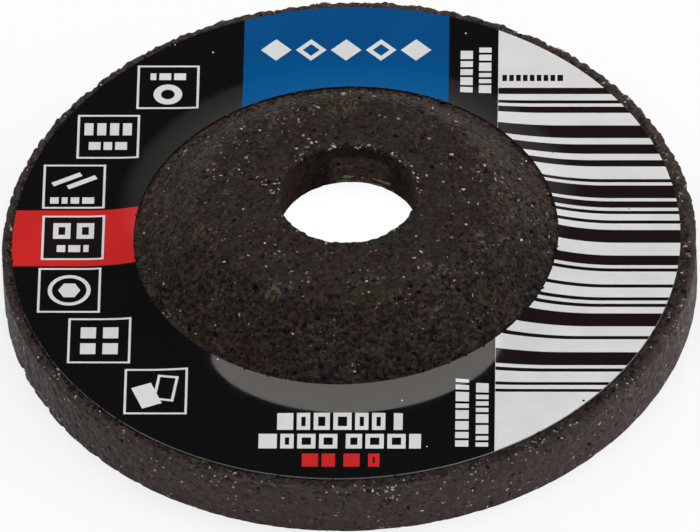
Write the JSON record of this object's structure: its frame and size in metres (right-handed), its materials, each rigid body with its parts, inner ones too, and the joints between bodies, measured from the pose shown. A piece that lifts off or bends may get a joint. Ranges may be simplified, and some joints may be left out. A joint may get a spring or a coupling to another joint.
{
  "type": "grinding disc",
  "caption": "Small depressed-centre grinding disc of dark bonded abrasive, with a raised hub, plain bore, printed ring on top and open glass-fibre cloth moulded into the underside.",
  "frame": {"origin": "on the bore's axis, at the height of the flat grinding face that the disc lies on", "axes": "+Z along the bore's axis towards the raised hub, +X along the rows of the printed ring"},
  "size_m": [0.05, 0.05, 0.009],
  "materials": {
    "abrasive": "rough bonded grain in dark resin",
    "label": "film-coated printed paper",
    "glass_cloth": "glass threads soaked in resin"
  },
  "bodies": {
    "root": {"abrasive_disc": "abrasive", "label": "label", "glass_cloth": "glass_cloth"}
  },
  "joints": []
}
